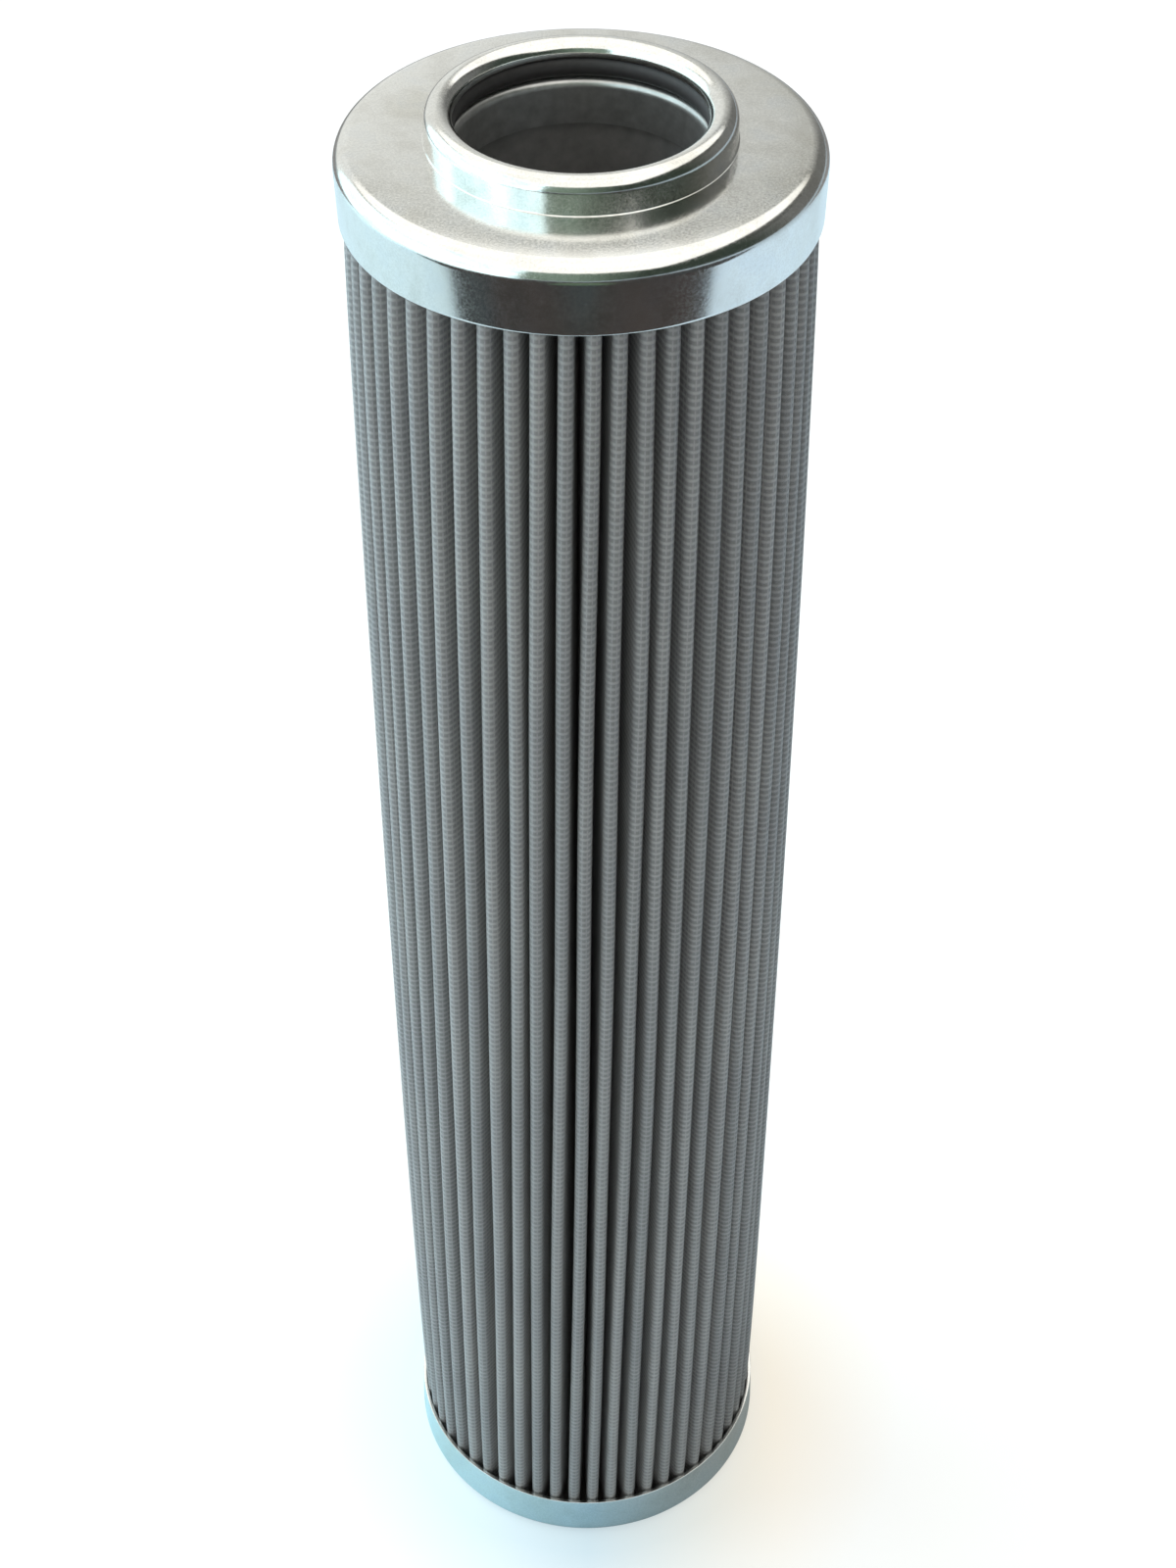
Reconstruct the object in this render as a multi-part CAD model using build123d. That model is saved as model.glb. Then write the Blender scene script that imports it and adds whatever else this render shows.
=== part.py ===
from build123d import *
import os
from math import asin, atan2, ceil, degrees, pi

# Pleated filter element for a hydraulic return-line housing. It stands on its
# closed end with the open neck up. The origin is the middle of the closed face
# and +Z runs up the axis. Lengths are in millimetres and angles in degrees.

# Steel end caps, each drawn from one round of sheet
element_height = 338.0
cap_radius = 39.0
sheet = 0.8
skirt_height = 11.9
skirt_taper = 0.3
rim_round = 3.0

# Neck of the open cap, with its edge rolled inwards over the seal
neck_height = 5.6
neck_radius = 24.6
mouth_radius = 20.0
root_round = 2.0
lip_depth = 2.6
inside_corner = 0.7

# Boss pressed up in the closed cap to centre the core tube
boss_height = 2.0
boss_draft = 1.0

# Seal and the flanged sleeve that it rests on
seal_section = 4.0
seal_proud = 0.2
sleeve_flange_radius = 28.5
sleeve_length = 7.7
sleeve_round = 1.4

# Perforated core tube
hole_radius = 2.5
hole_sides = 8
holes_around = 8
hole_rows = 12
hole_margin = 14.0

# Pleated pack: two support meshes with the filter media between them
pleat_count = 54
first_crest = -90.0
crest_radius = 37.8
valley_gap = 0.2
mesh_thickness = 0.35
media_thickness = 0.6
bend_facet = 1.1
potting_depth = 5.0

# Worked out from the above
shoulder_z = element_height - neck_height
cap_inside_z = shoulder_z - sheet
skirt_edge_radius = cap_radius - skirt_taper
rim_centre = cap_radius - rim_round
rim_inside = rim_round - sheet
core_radius = mouth_radius + 2 * sheet
pack_thickness = 2 * mesh_thickness + media_thickness
pack_bottom = sheet + potting_depth
pack_top = cap_inside_z - potting_depth
crest_centre = crest_radius - pack_thickness
valley_centre = core_radius + valley_gap + pack_thickness


def turned(*edges):
    """Solid turned about Z from a closed half section, with X out and Y up."""
    return revolve(Plane.XZ * make_face(edges), Axis.Z)


def straight(*points):
    return Polyline(*points).edges()


def ring(outer_radius, inner_radius, bottom, top):
    disc = Circle(outer_radius) - Circle(inner_radius)
    return Pos(0, 0, bottom) * extrude(disc, top - bottom)


def open_end_cap():
    skirt_edge_z = shoulder_z - skirt_height
    rim_z = shoulder_z - rim_round
    root_centre = neck_radius + root_round
    root_z = shoulder_z + root_round
    lip_round = (neck_radius - mouth_radius) / 2
    roll_z = element_height - lip_round
    lip_edge_z = element_height - lip_depth
    lip_inside = mouth_radius + sheet
    neck_inside = neck_radius - sheet
    under_roll_z = element_height - sheet
    return turned(
        *straight((skirt_edge_radius, skirt_edge_z), (cap_radius, rim_z)),
        RadiusArc((cap_radius, rim_z), (rim_centre, shoulder_z), -rim_round),
        *straight((rim_centre, shoulder_z), (root_centre, shoulder_z)),
        RadiusArc((root_centre, shoulder_z), (neck_radius, root_z), root_round),
        *straight((neck_radius, root_z), (neck_radius, roll_z)),
        RadiusArc((neck_radius, roll_z), (mouth_radius, roll_z), -lip_round),
        *straight(
            (mouth_radius, roll_z),
            (mouth_radius, lip_edge_z),
            (lip_inside, lip_edge_z),
            (lip_inside, under_roll_z - inside_corner),
            (lip_inside + inside_corner, under_roll_z),
            (neck_inside - inside_corner, under_roll_z),
            (neck_inside, under_roll_z - inside_corner),
            (neck_inside, root_z),
        ),
        RadiusArc((neck_inside, root_z), (root_centre, cap_inside_z), -root_round - sheet),
        *straight((root_centre, cap_inside_z), (rim_centre, cap_inside_z)),
        RadiusArc((rim_centre, cap_inside_z), (cap_radius - sheet, rim_z), rim_inside),
        *straight(
            (cap_radius - sheet, rim_z),
            (skirt_edge_radius - sheet, skirt_edge_z),
            (skirt_edge_radius, skirt_edge_z),
        ),
    )


def closed_end_cap():
    boss_radius = mouth_radius
    return turned(
        *straight(
            (0, boss_height),
            (boss_radius - sheet - boss_draft, boss_height),
            (boss_radius - sheet, 0),
            (rim_centre, 0),
        ),
        RadiusArc((rim_centre, 0), (cap_radius, rim_round), -rim_round),
        *straight(
            (cap_radius, rim_round),
            (skirt_edge_radius, skirt_height),
            (skirt_edge_radius - sheet, skirt_height),
            (cap_radius - sheet, rim_round),
        ),
        RadiusArc((cap_radius - sheet, rim_round), (rim_centre, sheet), rim_inside),
        *straight(
            (rim_centre, sheet),
            (boss_radius, sheet),
            (boss_radius - boss_draft, boss_height + sheet),
            (0, boss_height + sheet),
            (0, boss_height),
        ),
    )


def seal_ring():
    half_section = seal_section / 2
    centre_radius = mouth_radius - seal_proud + half_section
    return Pos(0, 0, cap_inside_z + half_section) * Torus(centre_radius, half_section)


def seal_sleeve():
    """Sleeve that lines the top of the core tube, with a flange under the seal."""
    round_end = (mouth_radius, cap_inside_z - sleeve_round)
    round_start = (mouth_radius + sleeve_round, cap_inside_z)
    return turned(
        *straight(
            round_end,
            (mouth_radius, cap_inside_z - sleeve_length),
            (mouth_radius + sheet, cap_inside_z - sleeve_length),
            (mouth_radius + sheet, cap_inside_z - sheet),
            (sleeve_flange_radius, cap_inside_z - sheet),
            (sleeve_flange_radius, cap_inside_z),
            round_start,
        ),
        RadiusArc(round_start, round_end, -sleeve_round),
    )


def core_tube():
    """Tube under the sleeve's flange, with staggered rows of punched holes."""
    bottom = sheet
    top = cap_inside_z - sheet
    pitch = (top - bottom - 2 * hole_margin) / (hole_rows - 1)
    across = extrude(RegularPolygon(hole_radius, hole_sides), core_radius + sheet, both=True)
    punches = []
    for row in range(hole_rows):
        for column in range(holes_around // 2):
            turn = (column + row % 2 / 2) * 360 / holes_around
            height = bottom + hole_margin + row * pitch
            punches.append(Pos(0, 0, height) * Rot(0, 90, turn) * across)
    return ring(core_radius, core_radius - sheet, bottom, top) - punches


def bend(centre, radius, first_angle, last_angle):
    """Points round a bend of the folded sheet, about bend_facet apart."""
    if radius == 0:
        return [centre]
    steps = max(2, ceil(pi * radius / bend_facet))
    turns = [first_angle + (last_angle - first_angle) * n / steps for n in range(steps + 1)]
    return [centre + Vector(radius, 0).rotate(Axis.Z, turn) for turn in turns]


def sheet_outline(depth):
    """Star outline of the folded sheet at a depth below its dirty side.

    Every pleat bends round a point under its crest, and back round a point
    half a pitch on. The flank between them is the inner tangent of both bends.
    """
    pitch = 360 / pleat_count
    crest = Vector(crest_centre, 0)
    valley = Vector(valley_centre, 0).rotate(Axis.Z, pitch / 2)
    run = crest - valley
    lean = degrees(atan2(-run.Y, run.X) - asin(pack_thickness / run.length))
    tangent = 90 - lean
    over_crest = bend(crest, pack_thickness - depth, -tangent, tangent)
    round_valley = bend(valley, depth, tangent - 180, pitch - tangent - 180)
    pleat = over_crest + round_valley
    points = [p.rotate(Axis.Z, number * pitch) for number in range(pleat_count) for p in pleat]
    return Polygon(*points, align=None)


def folded_layer(outer_depth, inner_depth):
    """One sheet of the pack, turned so that a crest faces along first_crest."""
    layer = sheet_outline(outer_depth) - sheet_outline(inner_depth)
    return Pos(0, 0, pack_bottom) * Rot(0, 0, first_crest) * extrude(layer, pack_top - pack_bottom)


def potting():
    """Resin between the closed cap and the pack, as wide as the skirt's narrow edge."""
    edge_radius = skirt_edge_radius - sheet
    corner = (edge_radius - rim_inside, sheet)
    corner_end = (edge_radius, sheet + rim_inside)
    return turned(
        RadiusArc(corner, corner_end, -rim_inside),
        *straight(
            corner_end,
            (edge_radius, pack_bottom),
            (core_radius, pack_bottom),
            (core_radius, sheet),
            corner,
        ),
    )


def main():
    media_depth = mesh_thickness + media_thickness
    middle = Plane.XY.offset((sheet + cap_inside_z) / 2)
    nodes = {
        "open_end_cap": open_end_cap(),
        "closed_end_cap": closed_end_cap(),
        "seal_ring": seal_ring(),
        "seal_sleeve": seal_sleeve(),
        "core_tube": core_tube(),
        "outer_support_mesh": folded_layer(0, mesh_thickness),
        "filter_media": folded_layer(mesh_thickness, media_depth),
        "inner_support_mesh": folded_layer(media_depth, pack_thickness),
        "open_end_potting": mirror(potting(), middle) - seal_sleeve(),
        "closed_end_potting": potting(),
    }
    os.makedirs("parts", exist_ok=True)
    for name, shape in nodes.items():
        export_step(shape, f"parts/{name}.step")


main()
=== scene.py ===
import math
import bmesh
import bpy
from mathutils import Matrix, Vector, noise


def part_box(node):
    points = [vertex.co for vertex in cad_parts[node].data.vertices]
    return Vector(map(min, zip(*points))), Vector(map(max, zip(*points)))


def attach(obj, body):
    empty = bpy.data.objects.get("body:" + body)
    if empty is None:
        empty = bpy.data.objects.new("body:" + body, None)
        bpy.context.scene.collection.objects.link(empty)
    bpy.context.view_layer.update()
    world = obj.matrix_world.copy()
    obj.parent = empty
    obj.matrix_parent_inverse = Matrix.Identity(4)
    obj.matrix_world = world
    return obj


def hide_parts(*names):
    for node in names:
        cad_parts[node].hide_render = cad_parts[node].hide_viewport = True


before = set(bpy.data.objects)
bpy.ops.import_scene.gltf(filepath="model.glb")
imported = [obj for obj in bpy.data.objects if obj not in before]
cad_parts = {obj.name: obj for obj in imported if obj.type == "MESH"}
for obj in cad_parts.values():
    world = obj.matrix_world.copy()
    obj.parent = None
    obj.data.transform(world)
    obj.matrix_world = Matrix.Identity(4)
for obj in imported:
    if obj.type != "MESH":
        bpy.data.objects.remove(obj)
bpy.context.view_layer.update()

mm = 0.001
turn = 2 * math.pi
samePlace = 0.01 * mm    # points this close together count as one


# small helpers for working in edit mode

def clearSelection():
    if bpy.context.mode != "OBJECT":
        bpy.ops.object.mode_set(mode="OBJECT")
    bpy.ops.object.select_all(action="DESELECT")


def startPiece(name):
    # one loose point at the origin, in edit mode, ready to be extruded
    clearSelection()
    bpy.ops.mesh.primitive_plane_add(size=mm, location=(0, 0, 0))
    piece = bpy.context.active_object
    piece.name = name
    piece.data.name = name
    bpy.ops.object.mode_set(mode="EDIT")
    bpy.ops.mesh.merge(type="CENTER")
    return piece


def traceLine(name, points):
    # a line through points of (across, up), drawn in the XZ plane
    piece = startPiece(name)
    last = Vector((0, 0, 0))
    for number, (across, up) in enumerate(points):
        here = Vector((across, 0, up))
        if number == 0:
            bpy.ops.transform.translate(value=here)
        else:
            bpy.ops.mesh.extrude_vertices_move(TRANSFORM_OT_translate={"value": here - last})
        last = here
    return piece


def pickPoints(piece, test):
    bpy.ops.mesh.select_mode(type="VERT")
    bpy.ops.mesh.select_all(action="DESELECT")
    shape = bmesh.from_edit_mesh(piece.data)
    for point in shape.verts:
        point.select_set(test(point.co))
    shape.select_flush(True)
    bmesh.update_edit_mesh(piece.data)


def roundCorner(piece, corner, radius, segments):
    place = Vector((corner[0], 0, corner[1]))
    pickPoints(piece, lambda co: (co - place).length < samePlace)
    bpy.ops.mesh.bevel(affect="VERTICES", offset=radius, segments=segments, profile=0.5)


def spinRound(piece, steps):
    bpy.ops.mesh.select_all(action="SELECT")
    bpy.ops.mesh.spin(steps=steps, angle=turn, center=(0, 0, 0), axis=(0, 0, 1))
    bpy.ops.mesh.select_all(action="SELECT")
    bpy.ops.mesh.remove_doubles(threshold=samePlace)
    bpy.ops.mesh.normals_make_consistent(inside=False)
    bpy.ops.object.mode_set(mode="OBJECT")


def applyModifier(piece, kind, name, **values):
    change = piece.modifiers.new(name, kind)
    for key, value in values.items():
        setattr(change, key, value)
    bpy.context.view_layer.objects.active = piece
    bpy.ops.object.modifier_apply(modifier=change.name)


def shadeSmooth(piece, degrees):
    clearSelection()
    piece.select_set(True)
    bpy.context.view_layer.objects.active = piece
    bpy.ops.object.shade_smooth_by_angle(angle=math.radians(degrees))


def finishPiece(piece, material, slotName, *nodes):
    piece.data.materials.clear()
    piece.data.materials.append(material)
    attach(piece, "root")
    if nodes:
        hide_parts(*nodes)


# camera

cameraSettings = {
    "place": (0, -0.3745, 0.5351),
    "tiltDown": 42.15,
    "turn": -0.11,
    "roll": -0.21,
    "lens": 60.95,
    "sensorWidth": 36,
    "clipStart": 0.01,
}


def makeCamera(s):
    bpy.ops.object.camera_add(location=s["place"])
    camera = bpy.context.active_object
    camera.rotation_euler = (math.radians(90 - s["tiltDown"]), 0, math.radians(s["turn"]))
    camera.rotation_euler.rotate_axis("Z", math.radians(s["roll"]))
    camera.data.lens = s["lens"]
    camera.data.sensor_width = s["sensorWidth"]
    camera.data.clip_start = s["clipStart"]
    bpy.context.scene.camera = camera
    bpy.context.scene.view_settings.view_transform = "Standard"


makeCamera(cameraSettings)
print("camera set")


# materials

def newMaterial(name, **values):
    material = bpy.data.materials.new(name)
    material.use_nodes = True
    shader = material.node_tree.nodes["Principled BSDF"]
    for key, value in values.items():
        shader.inputs[key].default_value = value
    return material, material.node_tree, shader


def addNode(tree, kind, inputs=None, **values):
    node = tree.nodes.new("ShaderNode" + kind)
    for key, value in values.items():
        setattr(node, key, value)
    for key, value in (inputs or {}).items():
        if isinstance(value, bpy.types.NodeSocket):
            tree.links.new(value, node.inputs[key])
        else:
            node.inputs[key].default_value = value
    return node


def addRamp(tree, factor, stops):
    node = addNode(tree, "ValToRGB", {"Fac": factor})
    ramp = node.color_ramp
    while len(ramp.elements) < len(stops):
        ramp.elements.new(0.5)
    for element, (position, colour) in zip(ramp.elements, stops):
        element.position = position
        element.color = (*colour, 1)
    return node.outputs["Color"]


def objectPoint(tree, scale=(1, 1, 1)):
    where = addNode(tree, "TexCoord").outputs["Object"]
    return addNode(tree, "Mapping", {"Vector": where, "Scale": scale}).outputs["Vector"]


noiseRoughness = 0.55


def addNoise(tree, point, scale, detail):
    values = {"Vector": point, "Scale": scale, "Detail": detail, "Roughness": noiseRoughness}
    return addNode(tree, "TexNoise", values).outputs["Fac"]


def plainMath(tree, operation, *values):
    return addNode(tree, "Math", dict(enumerate(values)), operation=operation).outputs[0]


def addBump(tree, height, strength, distance, shader):
    bump = addNode(tree, "Bump", {"Height": height, "Strength": strength, "Distance": distance})
    tree.links.new(bump.outputs["Normal"], shader.inputs["Normal"])


def tinted(tree, colour, shade):
    node = addNode(tree, "Mix", data_type="RGBA", blend_type="MULTIPLY")
    node.inputs["Factor"].default_value = 1
    tree.links.new(colour, node.inputs[6])
    tree.links.new(shade, node.inputs[7])
    return node.outputs[2]


def mapped(tree, value, low, high, newLow, newHigh):
    return addNode(tree, "MapRange", {
        "Value": value, "From Min": low, "From Max": high,
        "To Min": newLow, "To Max": newHigh}).outputs[0]


steelSettings = {
    "cloudScale": 160,
    "clouds": [(0.35, (0.78, 0.775, 0.75)), (0.52, (0.85, 0.85, 0.83)), (0.68, (0.82, 0.83, 0.83))],
    "grainScale": 2600,
    "specks": [(0.35, (0.90, 0.90, 0.90)), (0.62, (1, 1, 1))],
    "stainScale": 45,
    "stains": [(0.30, (0.90, 0.89, 0.86)), (0.46, (1, 1, 1))],
    "grainReach": (0.3, 0.7),
    "roughness": (0.11, 0.19),
    "grainStrength": 0.12,
    "grainDepth": 0.02 * mm,
}


def platedSteel(s):
    # bright plating on pressed sheet: faint clouds, fine grain and a few soft stains
    material, tree, shader = newMaterial("platedSteel", Metallic=1.0)
    point = objectPoint(tree)
    grain = addNoise(tree, point, s["grainScale"], 2)
    base = addRamp(tree, addNoise(tree, point, s["cloudScale"], 3), s["clouds"])
    speck = addRamp(tree, grain, s["specks"])
    stains = addNoise(tree, objectPoint(tree, (1, 1, 0.6)), s["stainScale"], 2)
    stain = addRamp(tree, stains, s["stains"])
    tree.links.new(tinted(tree, tinted(tree, base, speck), stain), shader.inputs["Base Color"])
    rough = mapped(tree, grain, *s["grainReach"], *s["roughness"])
    tree.links.new(rough, shader.inputs["Roughness"])
    addBump(tree, grain, s["grainStrength"], s["grainDepth"], shader)
    return material


weaveSettings = {
    "levelPitch": 1.35 * mm,
    "levelWire": 0.85 * mm,
    "uprightPitch": 0.9 * mm,
    "uprightWire": 0.42 * mm,
    "wireColour": (0.405, 0.41, 0.407),
    # the gap colour is painted shade: the pale fibre between the wires, darkened as it lies in
    # their shade
    "shadedGapColour": (0.262, 0.266, 0.266),
    "metallic": 0.2,
    "roughness": 0.5,
    "bumpStrength": 0.5,
    "bumpDepth": 0.12 * mm,
    # heights of the wires at the two ends of the wave, and the height that is all wire
    "uprightHeights": (0.3, 0.8),
    "levelHeights": (1, 0.7),
    "fullCover": 0.9,
    # each pleat has a shade of its own, which changes slowly along it
    "pleatScale": (240, 240, 4),
    "pleatShades": [(0.35, (0.84, 0.85, 0.85)), (0.65, (1.0, 1.0, 0.99))],
    "cloudScale": 35,
    "cloudShades": [(0.3, (0.90, 0.90, 0.91)), (0.7, (1.0, 1.0, 0.99))],
}


def wireLine(tree, along, pitch, wire):
    # round wires one pitch apart: 1 on the middle of each, falling to 0 at its sides
    part = plainMath(tree, "FRACT", plainMath(tree, "DIVIDE", along, pitch))
    side = plainMath(tree, "ABSOLUTE", plainMath(tree, "SUBTRACT", part, 0.5))
    inside = mapped(tree, side, 0, 0.5 * wire / pitch, 1, 0)
    return plainMath(tree, "SINE", plainMath(tree, "MULTIPLY", inside, math.pi / 2))


def crossing(tree, along, pitch):
    # swings between 1 and -1 from one wire to the next
    return plainMath(tree, "SINE", plainMath(tree, "MULTIPLY", along, math.pi / pitch))


def wovenWire(s):
    # plain weave: wires up the sheet and across it, each rising over every second one
    material, tree, shader = newMaterial(
        "wovenWire", Metallic=s["metallic"], Roughness=s["roughness"])
    across = addNode(tree, "Attribute", attribute_name="acrossSheet").outputs["Fac"]
    up = addNode(tree, "SeparateXYZ", {"Vector": objectPoint(tree)}).outputs["Z"]
    upright = wireLine(tree, across, s["uprightPitch"], s["uprightWire"])
    level = wireLine(tree, up, s["levelPitch"], s["levelWire"])
    wave = plainMath(
        tree, "MULTIPLY",
        crossing(tree, across, s["uprightPitch"]), crossing(tree, up, s["levelPitch"]))
    over = plainMath(tree, "MULTIPLY", upright, mapped(tree, wave, -1, 1, *s["uprightHeights"]))
    under = plainMath(tree, "MULTIPLY", level, mapped(tree, wave, -1, 1, *s["levelHeights"]))
    height = plainMath(tree, "MAXIMUM", over, under)
    cover = mapped(tree, height, 0, s["fullCover"], 0, 1)
    # the wires in their own grey, and the fibre between them darkened with painted shade
    wireOrShadedGap = addRamp(tree, cover, [(0.0, s["shadedGapColour"]), (1.0, s["wireColour"])])
    clouds = addNoise(tree, objectPoint(tree), s["cloudScale"], 2)
    shade = addRamp(tree, clouds, s["cloudShades"])
    pleats = addNoise(tree, objectPoint(tree, s["pleatScale"]), 1, 1)
    pleat = addRamp(tree, pleats, s["pleatShades"])
    tree.links.new(tinted(tree, tinted(tree, wireOrShadedGap, shade), pleat), shader.inputs["Base Color"])
    addBump(tree, height, s["bumpStrength"], s["bumpDepth"], shader)
    return material


finishSettings = {
    # colour, roughness, metallic, scale of the flecks and depth of their grain
    "sealRubber": ((0.045, 0.043, 0.043), 0.55, 0, 700, 0.03 * mm),
    "sleevePlate": ((0.62, 0.62, 0.61), 0.33, 0.9, 500, 0.01 * mm),
    "pottingResin": ((0.06, 0.058, 0.05), 0.5, 0, 300, 0.1 * mm),
    "glassFibre": ((0.82, 0.8, 0.74), 0.85, 0, 500, 0.08 * mm),
    "corePlate": ((0.46, 0.45, 0.44), 0.36, 0.65, 400, 0.03 * mm),
}
darkFleck = 0.75
fleckStrength = 0.2


def plainFinish(name, colour, rough, metallic, fleckScale, depth):
    material, tree, shader = newMaterial(name, Metallic=metallic, Roughness=rough)
    fleck = addNoise(tree, objectPoint(tree), fleckScale, 4)
    dark = tuple(darkFleck * part for part in colour)
    tree.links.new(addRamp(tree, fleck, [(0.3, dark), (0.7, colour)]), shader.inputs["Base Color"])
    addBump(tree, fleck, fleckStrength, depth, shader)
    return material


steelMaterial = platedSteel(steelSettings)
wireMaterial = wovenWire(weaveSettings)
finishes = {name: plainFinish(name, *values) for name, values in finishSettings.items()}
print("materials made")


# end caps: the middle of the sheet is traced, spun and given its thickness

capSettings = {
    "sheet": 0.8 * mm,
    "rimRadius": 39.0 * mm,
    "skirtTaper": 0.3 * mm,
    "rimRound": 3.0 * mm,
    "crown": 0.24 * mm,
    "crownWidth": 3.4 * mm,
    "neckRadius": 24.6 * mm,
    "neckHeight": 5.6 * mm,
    "mouthRadius": 20.0 * mm,
    "rootRound": 0.22 * mm,
    "lipDepth": 2.6 * mm,
    "bossHeight": 2.0 * mm,
    "bossDraft": 1.0 * mm,
    "steps": 192,
    "cornerSteps": 9,
    "edgeRound": 0.12 * mm,
    "edgeRow": 0.4 * mm,    # height of the row of faces by the skirt's open edge
    "lipFill": 0.98,    # the two lip rounds together, as a share of the lip's width
    "wobble": 0.05 * mm,
    "wobbleScale": 45,
    "cutAngle": 50,
    "smoothAngle": 40,
}


def wobbleSheet(piece, s):
    # a pressed cap is never quite round; points only move inwards, so the size holds
    for point in piece.data.vertices:
        push = noise.noise(point.co * s["wobbleScale"]) * s["wobble"]
        outward = Vector((point.co.x, point.co.y, 0))
        if outward.length > mm:
            point.co -= outward.normalized() * abs(push)
    piece.data.update()


def finishCap(piece, s):
    applyModifier(
        piece, "SOLIDIFY", "sheet", thickness=s["sheet"], offset=0, use_even_offset=True)
    applyModifier(
        piece, "BEVEL", "cutEdge", width=s["edgeRound"], segments=2,
        limit_method="ANGLE", angle_limit=math.radians(s["cutAngle"]))
    wobbleSheet(piece, s)
    shadeSmooth(piece, s["smoothAngle"])
    applyModifier(piece, "WEIGHTED_NORMAL", "flatFaces", keep_sharp=True)


def makeOpenCap(s):
    half = s["sheet"] / 2
    low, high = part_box("open_end_cap")
    shoulder = high.z - s["neckHeight"] - half
    rim = (s["rimRadius"] - half, shoulder - s["crown"])
    crownStart = (rim[0] - s["rimRound"] - s["crownWidth"], shoulder)
    root = (s["neckRadius"] - half, shoulder)
    outerLip = (s["neckRadius"] - half, high.z - half)
    innerLip = (s["mouthRadius"] + half, high.z - half)
    skirtEdge = s["rimRadius"] - s["skirtTaper"] - half
    piece = traceLine("openEndCap", [
        (skirtEdge, low.z), (skirtEdge, low.z + s["edgeRow"]),
        rim, crownStart, root, outerLip, innerLip,
        (s["mouthRadius"] + half, high.z - s["lipDepth"])])
    roundCorner(piece, rim, s["rimRound"] - half, s["cornerSteps"])
    roundCorner(piece, root, s["rootRound"] + half, s["cornerSteps"])
    lipRound = (outerLip[0] - innerLip[0]) / 2 * s["lipFill"]
    roundCorner(piece, outerLip, lipRound, s["cornerSteps"])
    roundCorner(piece, innerLip, lipRound, s["cornerSteps"])
    spinRound(piece, s["steps"])
    finishCap(piece, s)
    finishPiece(piece, steelMaterial, "plated_steel", "open_end_cap")


def makeClosedCap(s):
    half = s["sheet"] / 2
    low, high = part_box("closed_end_cap")
    boss = s["mouthRadius"] - half
    rim = (s["rimRadius"] - half, low.z + half)
    skirtEdge = s["rimRadius"] - s["skirtTaper"] - half
    piece = traceLine("closedEndCap", [
        (0, low.z + s["bossHeight"] + half),
        (boss - s["bossDraft"], low.z + s["bossHeight"] + half),
        (boss, low.z + half),
        rim,
        (skirtEdge, high.z - s["edgeRow"]), (skirtEdge, high.z)])
    roundCorner(piece, rim, s["rimRound"] - half, s["cornerSteps"])
    spinRound(piece, s["steps"])
    finishCap(piece, s)
    finishPiece(piece, steelMaterial, "plated_steel", "closed_end_cap")


makeOpenCap(capSettings)
makeClosedCap(capSettings)
print("end caps made")


# pleated pack: one fold is traced, set round the axis and drawn up in rows

packSettings = {
    "count": 54,
    "crestRadius": 37.45 * mm,
    "valleyRadius": 23.1 * mm,
    "thickness": 1.3 * mm,
    "rows": 40,
    "crestSteps": 8,
    "valleySteps": 3,
    "firstCrest": -90,
    # how the pack settled: turns in degrees, and how far the crests stand out
    "twistTop": 2.5,
    "twistBottom": -5.2,
    "twistMiddle": 0.6,
    "bulge": 1.48 * mm,
    "bulgeFullness": 0.45,
    "sway": 0.55,
    "lift": 0.2 * mm,
    "drift": 1.0,
    "driftWaves": 3,
    "driftStart": 70,
    "driftAtFoot": 0.4,
    "driftGain": 0.6,
    "swayAtEnds": 0.4,
    "swayGain": 0.6,
    # how fast the noise changes from pleat to pleat and up the pack, and where it starts
    "swaySteps": (3.7, 2.2),
    "liftSteps": (5.3, 1.7),
    "seed": 7,
    "liftSeed": 16,
    "mergeWithin": 0.005 * mm,
    "smoothAngle": 45,
    "layers": [
        # name, depth of the outer and inner side in mm, slot and node
        ("outerSupportMesh", 0.0, 0.35, "woven_mesh", "outer_support_mesh"),
        ("filterMedia", 0.35, 0.95, "filter_fibre", "filter_media"),
        ("innerSupportMesh", 0.95, 1.3, "woven_mesh", "inner_support_mesh"),
    ],
}


def foldPoints(s, depth):
    # half of one pleat, from the tip of its crest to the tip of the valley, as (x, y)
    halfPitch = math.pi / s["count"]
    crestBend = s["thickness"] - depth
    crest = Vector((s["crestRadius"] - s["thickness"], 0))
    valley = Vector((math.cos(halfPitch), math.sin(halfPitch))) * s["valleyRadius"]
    run = crest - valley
    lean = math.atan2(-run.y, run.x) - math.asin(s["thickness"] / run.length)
    square = math.pi / 2 - lean
    points = []
    for n in range(s["crestSteps"] // 2 + 1):
        angle = square * n / (s["crestSteps"] // 2)
        points.append(crest + Vector((math.cos(angle), math.sin(angle))) * crestBend)
    meet = valley - Vector((math.cos(square), math.sin(square))) * depth
    points.append(points[-1].lerp(meet, 0.5))
    steps = s["valleySteps"] if depth > 0 else 0
    for n in range(steps + 1):
        angle = square - math.pi - (math.pi / 2 - lean - halfPitch) * n / max(1, steps)
        points.append(valley + Vector((math.cos(angle), math.sin(angle))) * depth)
    return points


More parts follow.
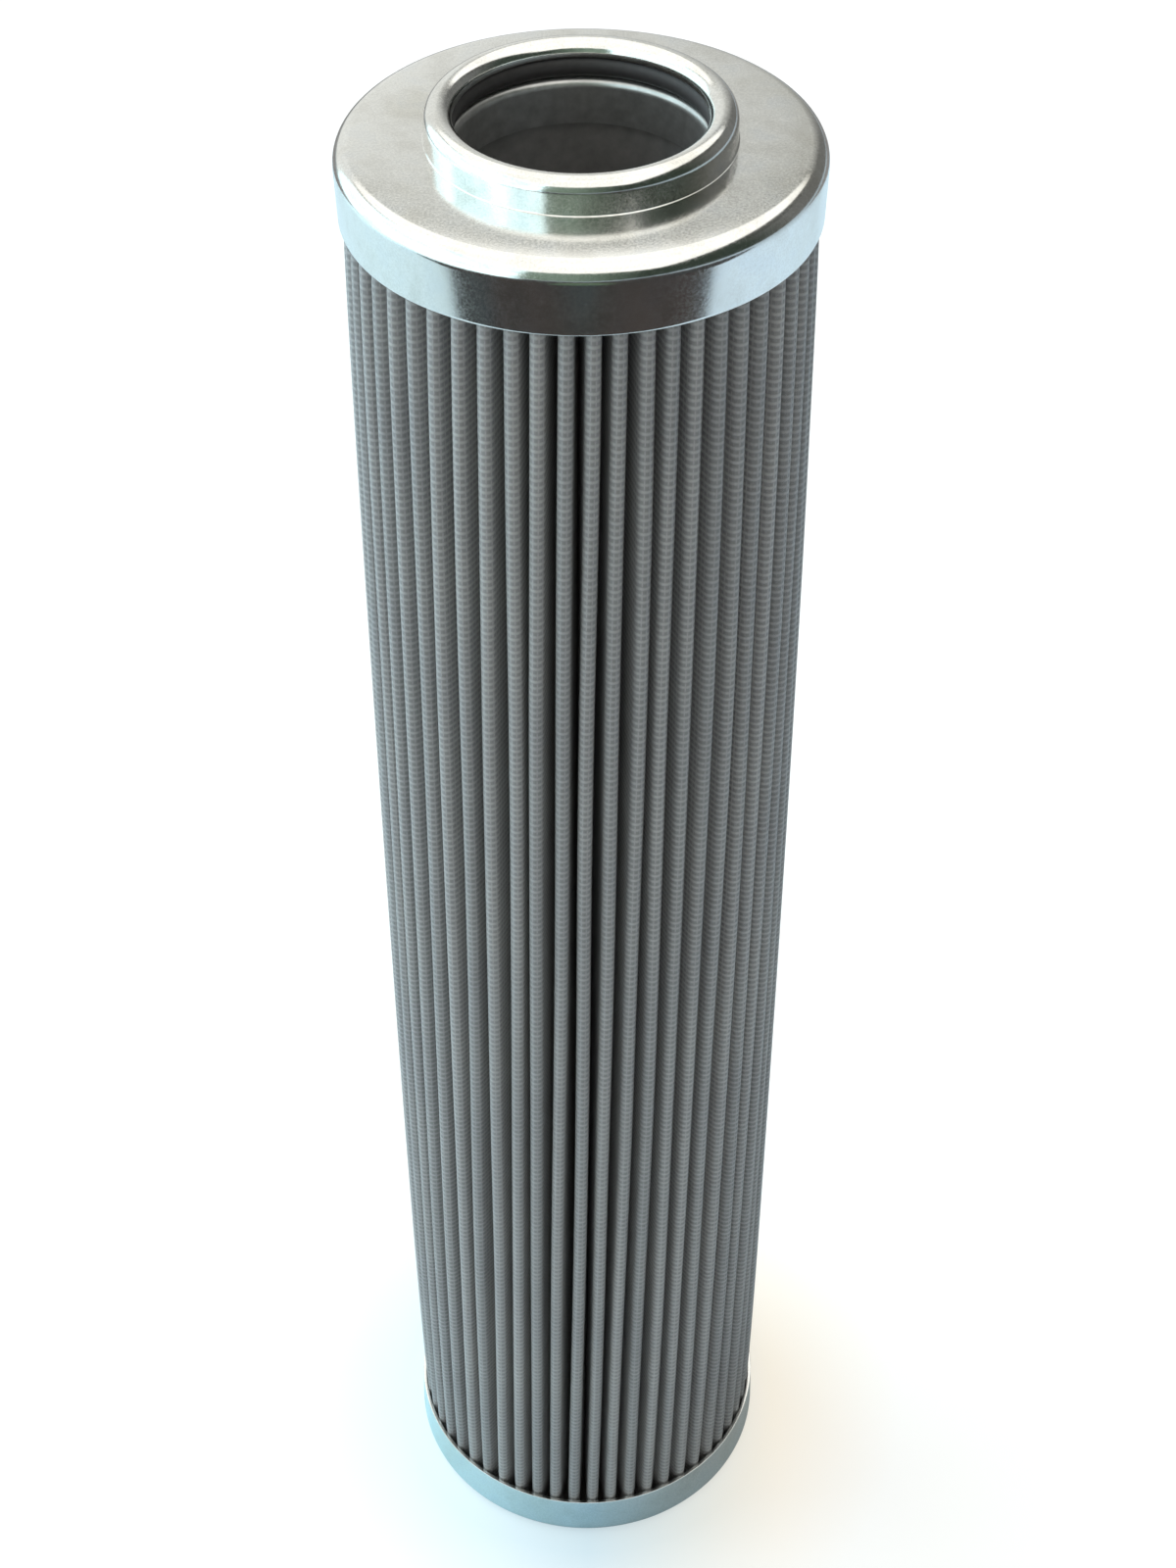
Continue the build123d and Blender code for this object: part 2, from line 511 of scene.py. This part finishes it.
def drawFold(name, s, depth, bottom):
    # one pleat from valley to valley, with its length from the crest kept as an attribute
    half = foldPoints(s, depth)
    fold = [(p.x, -p.y) for p in reversed(half[1:])] + [(p.x, p.y) for p in half]
    piece = startPiece(name)
    last = Vector((0, 0, 0))
    toFirstCrest = Matrix.Rotation(math.radians(s["firstCrest"]), 3, "Z")
    for number, (x, y) in enumerate(fold):
        here = toFirstCrest @ Vector((x, y, bottom))
        if number == 0:
            bpy.ops.transform.translate(value=here)
        else:
            bpy.ops.mesh.extrude_vertices_move(TRANSFORM_OT_translate={"value": here - last})
        last = here
    bpy.ops.object.mode_set(mode="OBJECT")
    length = piece.data.attributes.new("acrossSheet", "FLOAT", "POINT")
    crest = len(half) - 1
    for step in (1, -1):
        run = 0
        for number in range(1, len(half)):
            here = crest + step * number
            run += (piece.data.vertices[here].co - piece.data.vertices[here - step].co).length
            length.data[here].value = run
    return piece


def drawUp(piece, s, height):
    # the fold goes round the axis, and its edges are extruded up row by row
    bpy.ops.object.mode_set(mode="EDIT")
    bpy.ops.mesh.select_all(action="SELECT")
    bpy.ops.mesh.spin(steps=s["count"], angle=turn, center=(0, 0, 0), axis=(0, 0, 1), dupli=True)
    bpy.ops.mesh.select_all(action="SELECT")
    bpy.ops.mesh.remove_doubles(threshold=s["mergeWithin"])
    bpy.ops.mesh.select_all(action="SELECT")
    for row in range(s["rows"]):
        rise = {"value": (0, 0, height / s["rows"])}
        bpy.ops.mesh.extrude_region_move(TRANSFORM_OT_translate=rise)
    bpy.ops.mesh.select_all(action="SELECT")
    bpy.ops.mesh.normals_make_consistent(inside=False)
    bpy.ops.object.mode_set(mode="OBJECT")


def settlePack(piece, s, bottom, height):
    # turned by hand in the glue, fuller in the middle, and no pleat quite like the next
    pitch = 360 / s["count"]
    for point in piece.data.vertices:
        radius = math.hypot(point.co.x, point.co.y)
        angle = math.degrees(math.atan2(point.co.y, point.co.x))
        rise = min(1, max(0, (point.co.z - bottom) / height))
        out = (radius - s["valleyRadius"]) / (s["crestRadius"] - s["valleyRadius"])
        out = min(1, max(0, out))
        number = round((angle - s["firstCrest"]) / pitch) % s["count"]
        sideStep, upStep = s["swaySteps"]
        sway = noise.noise(Vector((number * sideStep, rise * upStep, s["seed"])))
        sideStep, upStep = s["liftSteps"]
        lift = noise.noise(Vector((number * sideStep, rise * upStep, s["liftSeed"])))
        middle = math.sin(math.pi * rise)
        ends = min(1, 4 * rise, 4 * (1 - rise))    # falls to 0 at both ends, in the resin
        twist = s["twistBottom"] + (s["twistTop"] - s["twistBottom"]) * rise
        twist += s["twistMiddle"] * middle
        wave = math.sin(math.radians(s["driftWaves"] * angle + s["driftStart"]))
        drift = s["drift"] * wave * (s["driftAtFoot"] + s["driftGain"] * rise)
        loose = s["swayAtEnds"] + s["swayGain"] * ends
        angle += twist + drift * out + s["sway"] * sway * out * loose * 2
        radius += out * (s["bulge"] * middle ** s["bulgeFullness"] + s["lift"] * lift * ends)
        angle = math.radians(angle)
        point.co.x = radius * math.cos(angle)
        point.co.y = radius * math.sin(angle)
    piece.data.update()


def makePack(s):
    low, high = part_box("outer_support_mesh")
    height = high.z - low.z
    materials = {"woven_mesh": wireMaterial, "filter_fibre": finishes["glassFibre"]}
    for name, outside, inside, slotName, node in s["layers"]:
        piece = drawFold(name, s, outside * mm, low.z)
        drawUp(piece, s, height)
        settlePack(piece, s, low.z, height)
        applyModifier(piece, "SOLIDIFY", "sheet", thickness=(inside - outside) * mm, offset=-1)
        shadeSmooth(piece, s["smoothAngle"])
        finishPiece(piece, materials[slotName], slotName, node)


makePack(packSettings)
print("pleated pack made")


# core tube: one punched cell is copied into staggered rows and rolled up

coreSettings = {
    "outerRadius": 21.6 * mm,
    "sheet": 0.8 * mm,
    "across": 16,
    "rows": 38,
    "holeRadius": 2.45 * mm,
    "plainEnd": 15 * mm,
    "cellInset": 0.2,    # only makes the ring of points, which then goes out to the hole
    "mergeWithin": 0.02 * mm,
    "pickWithin": 0.05 * mm,
    "smoothAngle": 40,
}


def punchCell(name, width, height, s):
    # a plate with a ring of sixteen points on its edge and a round hole
    clearSelection()
    bpy.ops.mesh.primitive_plane_add(size=1, location=(0, 0, 0))
    piece = bpy.context.active_object
    piece.name = name
    piece.data.name = name
    bpy.ops.object.mode_set(mode="EDIT")
    bpy.ops.mesh.subdivide(number_cuts=3)
    bpy.ops.transform.resize(value=(width, height, 1), center_override=(0, 0, 0))
    bpy.ops.mesh.select_all(action="SELECT")
    bpy.ops.mesh.dissolve_faces(use_verts=False)
    bpy.ops.mesh.inset(thickness=s["cellInset"] * width)
    shape = bmesh.from_edit_mesh(piece.data)
    for point in [p for p in shape.verts if p.select]:
        flat = Vector((point.co.x / width, point.co.y / height))
        point.co.x, point.co.y = flat.normalized() * s["holeRadius"]
    bmesh.update_edit_mesh(piece.data)
    bpy.ops.mesh.delete(type="ONLY_FACE")
    bpy.ops.object.mode_set(mode="OBJECT")
    return piece


def rollUp(piece, middle, bottom):
    # across the plate becomes round the axis, and up the plate becomes up
    for point in piece.data.vertices:
        angle = point.co.x / middle
        point.co = (middle * math.cos(angle), middle * math.sin(angle), bottom + point.co.y)
    piece.data.update()


def makeCoreTube(s):
    low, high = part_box("core_tube")
    middle = s["outerRadius"] - s["sheet"] / 2
    width = turn * middle / s["across"]
    height = (high.z - low.z - 2 * s["plainEnd"]) / s["rows"]
    piece = punchCell("coreTube", width, height, s)
    applyModifier(
        piece, "ARRAY", "roundTheTube", count=s["across"], use_merge_vertices=True,
        merge_threshold=samePlace, relative_offset_displace=(1, 0, 0))
    bpy.ops.object.mode_set(mode="EDIT")
    bpy.ops.mesh.select_all(action="SELECT")
    for row in range(1, s["rows"]):
        stagger = width / 2 if row % 2 else -width / 2
        step = {"value": (stagger, height, 0)}
        bpy.ops.mesh.duplicate_move(TRANSFORM_OT_translate=step)
    bpy.ops.object.mode_set(mode="OBJECT")
    firstRow = low.z + s["plainEnd"]
    rollUp(piece, middle, firstRow + height / 2)
    bpy.ops.object.mode_set(mode="EDIT")
    bpy.ops.mesh.select_all(action="SELECT")
    bpy.ops.mesh.remove_doubles(threshold=s["mergeWithin"])
    lastRow = high.z - s["plainEnd"]
    for level, rise in ((firstRow, -s["plainEnd"]), (lastRow, s["plainEnd"])):
        pickPoints(piece, lambda co: abs(co.z - level) < s["pickWithin"])
        bpy.ops.mesh.extrude_region_move(TRANSFORM_OT_translate={"value": (0, 0, rise)})
    bpy.ops.mesh.select_all(action="SELECT")
    bpy.ops.mesh.normals_make_consistent(inside=False)
    bpy.ops.object.mode_set(mode="OBJECT")
    applyModifier(piece, "SOLIDIFY", "plate", thickness=s["sheet"], offset=0)
    shadeSmooth(piece, s["smoothAngle"])
    finishPiece(piece, finishes["corePlate"], "core_steel", "core_tube")


makeCoreTube(coreSettings)
print("core tube made")


# pieces whose CAD form is already right get their finish

def dressNode(node, material):
    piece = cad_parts[node]
    piece.data.materials.clear()
    piece.data.materials.append(material)


dressNode("seal_ring", finishes["sealRubber"])
dressNode("seal_sleeve", finishes["sleevePlate"])
dressNode("open_end_potting", finishes["pottingResin"])
dressNode("closed_end_potting", finishes["pottingResin"])


# floor, lamps, the room round them, and the cards that the steel mirrors

studioSettings = {
    "floorSize": 8.0,
    "floorShade": 0.8,
    "floorRoughness": 0.9,
    # each look of the floor is part lit by the lamps, which keeps the shadow, and part plain
    "seenShares": (0.333, 0.76),
    "mirroredShares": (0.567, 0.15),
    "aim": (0, 0, 0.25),
    "lamps": [
        # name, place, width and height, brightness where 1 is white, colour
        ("leftPanel", (-1.1, 0.42, 0.75), (1.54, 1.3), 3.75, (0.78, 0.99, 1.12)),
        ("topPanel", (0, -0.1, 1.3), (1.2, 1.2), 1.35, (1.0, 0.985, 0.95)),
        ("frontPanel", (0, -1.3, 0.45), (0.5, 0.9), 1.73, (1.0, 1.0, 1.0)),
    ],
    "cards": [
        # seen only in the steel: name, place, tilt and turn, width and depth, colours
        ("floorNear", (0, -0.45, 2 * mm), (0, 0), (3.0, 0.4),
         [(0.066, 0.056, 0.052), (0.050, 0.047, 0.046), (0.055, 0.075, 0.08)]),
        ("floorFar", (0, -1.5, 2 * mm), (0, 0), (3.0, 1.7),
         [(0.060, 0.052, 0.050), (0.060, 0.060, 0.060), (0.07, 0.075, 0.07)]),
        ("floorPatch", (0, -1.0, 4 * mm), (0, 0), (0.36, 0.7),
         [(0.10, 0.15, 0.10), (0.13, 0.19, 0.12), (0.17, 0.23, 0.15)]),
        ("floorBack", (0, 1.7, 2 * mm), (0, 0), (3.0, 2.1),
         [(0.25, 0.24, 0.23), (0.3, 0.3, 0.3), (0.35, 0.35, 0.35)]),
        ("ceiling", (0, 0.06, 1.35), (0, 0), (2.0, 2.72),
         [(1.3, 1.28, 1.2), (1.4, 1.39, 1.32), (1.5, 1.5, 1.42)]),
        ("leftWall", (-0.96, 0.15, 0.75), (90, 72), (2.64, 1.3),
         [(1.1, 1.5, 1.6), (1.5, 1.9, 1.95), (2.1, 2.3, 2.3)]),
    ],
    "patchScale": 2.5,
    "patchStops": (0.40, 0.55, 0.70),
    # the room as the steel mirrors it, and as it lights the rest
    "frontRoom": (0.17, 0.23, 0.18),
    "lowRoom": (0.74, 0.75, 0.72),
    "highRoom": (0.44, 0.45, 0.42),
    "plainFront": (0.293, 0.278, 0.267),
    "plainBack": (0.84, 0.84, 0.84),
    "leftRoom": 1.2,
    "rightRoom": 0.24,
    # where each change begins and ends, in the Y, X and Z of the unit direction
    "depthReach": (-0.2, 0.3),
    "sideReach": (-0.1, 0.45),
    "heightReach": (0.475, 0.54),
    # the floor's colours from left to right, far off and by the element's foot
    # in the steel the floor carries painted light: pale cyan to the left, brighter and bluer to the
    # right
    "mirroredFloorLight": [(0.79, 0.94, 0.96), (1.1, 1.34, 1.5)],
    # in the steel, a painted shadow by the element's foot, darkest before it, with painted cyan
    # light to its left
    "mirroredFootShadow": [(0.72, 1.1, 1.2), (0.47, 0.74, 0.88), (0.64, 0.7, 0.68)],
    # to the eye the floor carries a faint painted tint of light, cyan to the left and warm to the
    # right
    "seenFloorLightTint": [(0.96, 1.0, 1.0), (1.0, 1.0, 0.97)],
    # to the eye, a painted shadow by the foot, tinted cyan to the left, with a painted warm glow to
    # the right
    "seenFootShadow": [(0.78, 0.92, 0.96), (0.66, 0.8, 0.86), (0.98, 0.92, 0.8)],
    # the width over which the painted light's colours run
    "floorLightTintWidth": 1.0,
    # the width over which the painted shadow's colours run, and the distances over which it fades
    # out
    "footShadowWidth": 0.09,
    "footShadowReach": (0.044, 0.075),
    "paperReach": (0.55, 0.95),
}


def lightRay(tree, kind):
    return addNode(tree, "LightPath").outputs[kind]


def mixShaders(tree, factor, first, second):
    return addNode(tree, "MixShader", {0: factor, 1: first, 2: second}).outputs[0]


def floorLook(tree, across, colours, shares):
    # the colours run from left to right, part lit by the lamps and part plain
    lit, plain = shares
    last = len(colours) - 1
    stops = [(number / last, colour) for number, colour in enumerate(colours)]
    shaded = [(stop, tuple(lit * part for part in colour)) for stop, colour in stops]
    matt = addNode(tree, "BsdfDiffuse", {"Color": addRamp(tree, across, shaded)})
    glow = addNode(tree, "Emission", {"Color": addRamp(tree, across, stops), "Strength": plain})
    return addNode(tree, "AddShader", {0: matt.outputs[0], 1: glow.outputs[0]}).outputs[0]


def fromLeft(tree, side, width):
    return mapped(tree, side, -width / 2, width / 2, 0, 1)


def makeFloor(s):
    # matt paper to the light; to the eye white with a soft shadow, and coloured in the steel; its
    # colours are painted light, with a painted shadow by the element's foot
    clearSelection()
    bpy.ops.mesh.primitive_plane_add(size=s["floorSize"], location=(0, 0, 0))
    floor = bpy.context.active_object
    floor.name = "floor"
    material, tree, shader = newMaterial("paperFloor", Roughness=s["floorRoughness"])
    shader.inputs["Base Color"].default_value = (*[s["floorShade"]] * 3, 1)
    point = objectPoint(tree)
    side = addNode(tree, "SeparateXYZ", {"Vector": point}).outputs["X"]
    distance = addNode(tree, "VectorMath", {0: point}, operation="LENGTH").outputs["Value"]
    # across the floor, for the painted cyan and warm light
    across = fromLeft(tree, side, s["floorLightTintWidth"])
    acrossFootShadow = fromLeft(tree, side, s["footShadowWidth"])
    # the painted shadow by the foot fades out with distance from the element
    outOfFootShadow = mapped(tree, distance, *s["footShadowReach"], 0, 1)
    mirrored = mixShaders(
        tree, outOfFootShadow,
        floorLook(tree, acrossFootShadow, s["mirroredFootShadow"], s["mirroredShares"]),
        floorLook(tree, across, s["mirroredFloorLight"], s["mirroredShares"]))
    seen = mixShaders(
        tree, outOfFootShadow,
        floorLook(tree, acrossFootShadow, s["seenFootShadow"], s["seenShares"]),
        floorLook(tree, across, s["seenFloorLightTint"], s["seenShares"]))
    # far from the element the paper is plain white to the eye
    white = addNode(tree, "Emission", {"Color": (1, 1, 1, 1), "Strength": 1})
    far = mapped(tree, distance, *s["paperReach"], 0, 1)
    seen = mixShaders(tree, far, seen, white.outputs[0])
    surface = mixShaders(tree, lightRay(tree, "Is Glossy Ray"), shader.outputs[0], mirrored)
    surface = mixShaders(tree, lightRay(tree, "Is Camera Ray"), surface, seen)
    tree.links.new(surface, tree.nodes["Material Output"].inputs["Surface"])
    floor.data.materials.append(material)


def makeCards(s):
    for name, place, (tilt, around), size, colours in s["cards"]:
        clearSelection()
        bpy.ops.mesh.primitive_plane_add(size=1, location=place)
        card = bpy.context.active_object
        card.scale = (*size, 1)
        card.rotation_euler = (math.radians(tilt), 0, math.radians(-around))
        card.name = name
        card.visible_camera = False
        card.visible_diffuse = False
        card.visible_shadow = False
        card.visible_transmission = False
        material, tree, _ = newMaterial(name)
        patches = addNoise(tree, objectPoint(tree, (*size, 1)), s["patchScale"], 2)
        colour = addRamp(tree, patches, list(zip(s["patchStops"], colours)))
        glow = addNode(tree, "Emission", {"Color": colour})
        tree.links.new(glow.outputs[0], tree.nodes["Material Output"].inputs["Surface"])
        card.data.materials.append(material)


def makeLamps(s):
    for name, place, size, level, colour in s["lamps"]:
        bpy.ops.object.light_add(type="AREA", location=place)
        lamp = bpy.context.active_object
        lamp.name = name
        lamp.data.shape = "RECTANGLE"
        lamp.data.size, lamp.data.size_y = size
        lamp.data.energy = level * math.pi * size[0] * size[1]
        lamp.data.color = colour
        lamp.visible_glossy = False
        lamp.visible_camera = False
        aim = Vector(s["aim"]) - Vector(place)
        lamp.rotation_euler = aim.to_track_quat("-Z", "Y").to_euler()


def background(tree, **values):
    return addNode(tree, "Background", values).outputs[0]


def makeRoom(s):
    # white to the eye; to the light, dim before the element and to its right, paler behind it
    world = bpy.data.worlds.new("room")
    bpy.context.scene.world = world
    world.use_nodes = True
    tree = world.node_tree
    way = addNode(tree, "SeparateXYZ", {"Vector": addNode(tree, "TexCoord").outputs["Generated"]})
    depth = mapped(tree, way.outputs["Y"], *s["depthReach"], 0, 1)
    height = mapped(tree, way.outputs["Z"], *s["heightReach"], 0, 1)
    side = mapped(tree, way.outputs["X"], *s["sideReach"], s["leftRoom"], s["rightRoom"])
    back = addRamp(tree, height, [(0, s["lowRoom"]), (1, s["highRoom"])])
    mirrored = mixShaders(
        tree, depth,
        background(tree, Color=(*s["frontRoom"], 1), Strength=side),
        background(tree, Color=back, Strength=side))
    room = tree.nodes["Background"]
    plain = addRamp(tree, depth, [(0, s["plainFront"]), (1, s["plainBack"])])
    tree.links.new(plain, room.inputs["Color"])
    tree.links.new(side, room.inputs["Strength"])
    surface = mixShaders(tree, lightRay(tree, "Is Glossy Ray"), room.outputs[0], mirrored)
    surface = mixShaders(
        tree, lightRay(tree, "Is Camera Ray"), surface, background(tree, Color=(1, 1, 1, 1)))
    tree.links.new(surface, tree.nodes["World Output"].inputs["Surface"])


makeFloor(studioSettings)
makeCards(studioSettings)
makeLamps(studioSettings)
makeRoom(studioSettings)
print("studio made")
